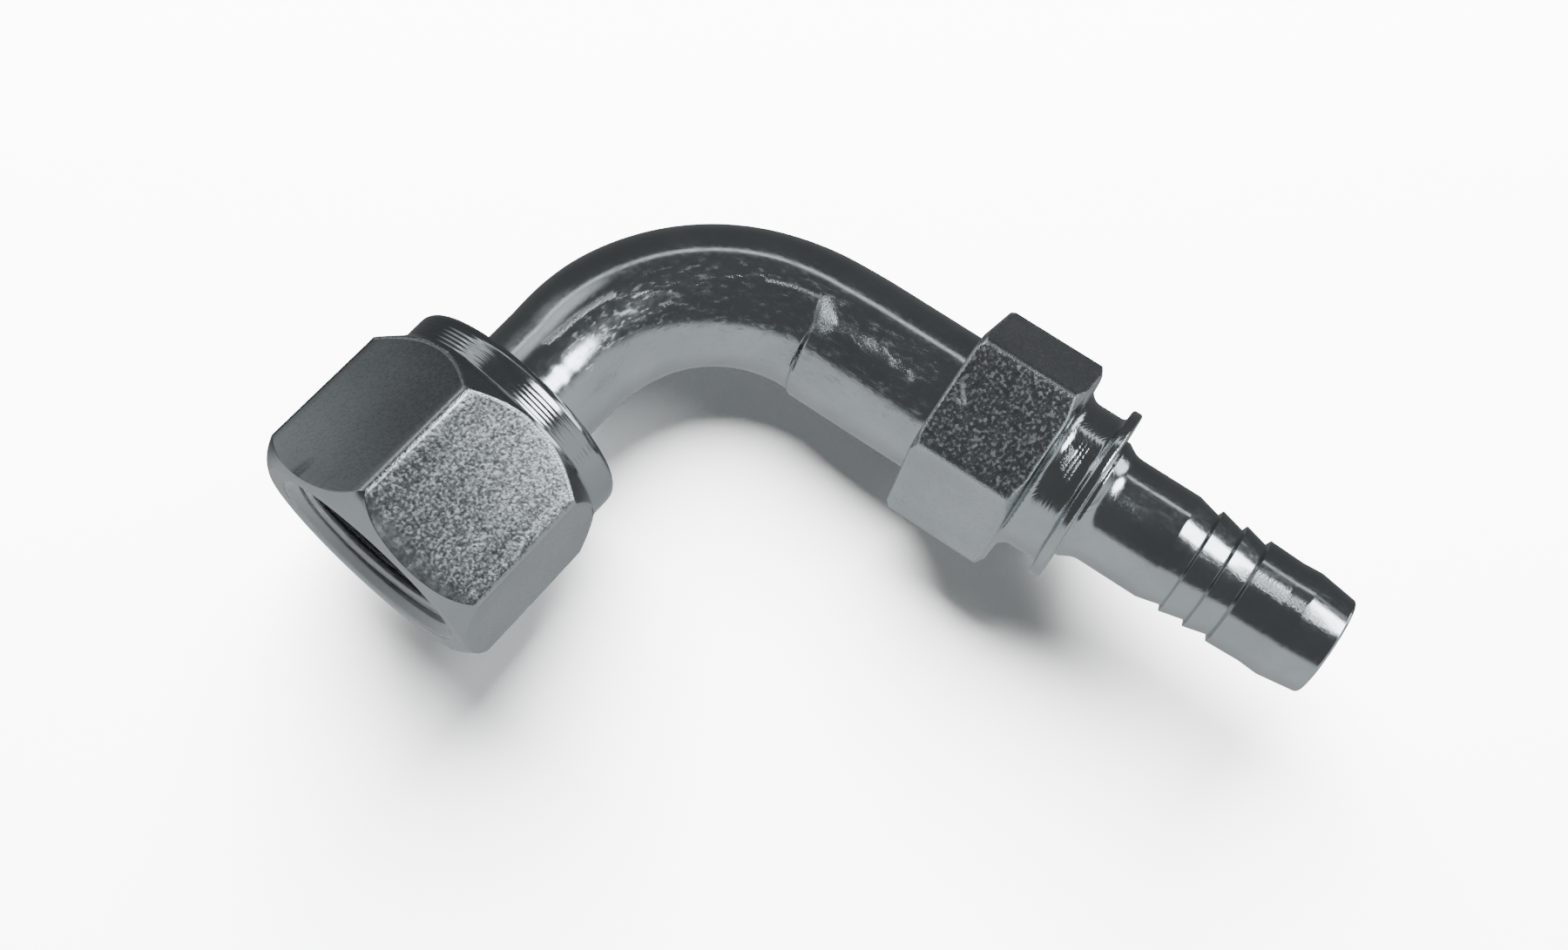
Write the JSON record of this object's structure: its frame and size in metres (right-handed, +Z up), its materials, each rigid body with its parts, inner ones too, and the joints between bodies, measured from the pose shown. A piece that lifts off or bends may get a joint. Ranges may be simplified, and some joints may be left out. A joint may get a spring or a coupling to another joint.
{
  "type": "hydraulic hose fitting",
  "caption": "Swept swivel elbow for a hydraulic hose: bent steel stem with barbed tail, ferrule stop and wrench hexagon, and a union nut that turns freely on its end.",
  "frame": {"origin": "on the table, under the middle of the fitting's outline as it lies", "axes": "+Z up from the table, +Y along the hose tail as seen from above, +X towards the nut's mouth, whose axis climbs at 16.6 degrees in the XZ plane"},
  "size_m": [0.056, 0.076, 0.0273],
  "materials": {
    "stem_steel": "zinc plated, satin on the bend, turned bright on the tail",
    "nut_steel": "zinc plated, fine pitted grain on the flats, turned collar"
  },
  "bodies": {
    "stem": {"stem": "stem_steel"},
    "nut": {"nut": "nut_steel"}
  },
  "joints": [
    {"name": "nut_swivel", "type": "hinge", "parent": "stem", "child": "nut", "pos_m": [0.01191, -0.0262, 0.01197], "axis": [0.9584, 0, 0.2855], "continuous": true}
  ]
}
